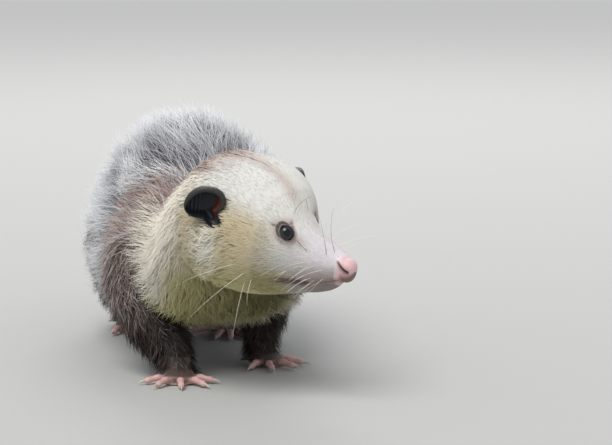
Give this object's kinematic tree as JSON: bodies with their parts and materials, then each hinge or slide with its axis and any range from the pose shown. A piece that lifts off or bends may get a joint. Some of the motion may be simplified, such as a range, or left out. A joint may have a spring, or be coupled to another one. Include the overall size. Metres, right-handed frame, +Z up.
{
  "type": "opossum",
  "caption": "Life-size Virginia opossum standing on four feet with its head turned to its left and its bare tail laid on the floor behind it.",
  "frame": {"origin": "centre of the rectangle that the model covers on the floor", "axes": "+Z up; the animal faces -Y, its left side is +X and its tail runs to +Y"},
  "size_m": [0.1738, 0.7496, 0.1862],
  "materials": {
    "coat": "long soft fur, white guard hair over dark underfur",
    "leg_coat": "dense dark brown fur",
    "nose": "moist bare pink skin",
    "skin": "bare pink skin of the toes",
    "ear": "thin bare black skin with a soft sheen",
    "eye": "wet black",
    "tail": "bare scaly skin"
  },
  "bodies": {
    "root": {"head": "coat", "neck": "coat", "torso_front": "coat", "torso_rear": "coat", "nose": "nose", "eye_left": "eye", "eye_right": "eye", "ear_left": "ear", "ear_right": "ear", "leg_front_left": "leg_coat", "leg_front_right": "leg_coat", "leg_hind_left": "leg_coat", "leg_hind_right": "leg_coat", "foot_front_left": "skin", "foot_front_right": "skin", "foot_hind_left": "skin", "foot_hind_right": "skin", "tail_base": "tail", "tail_middle": "tail", "tail_end": "tail"}
  },
  "joints": []
}
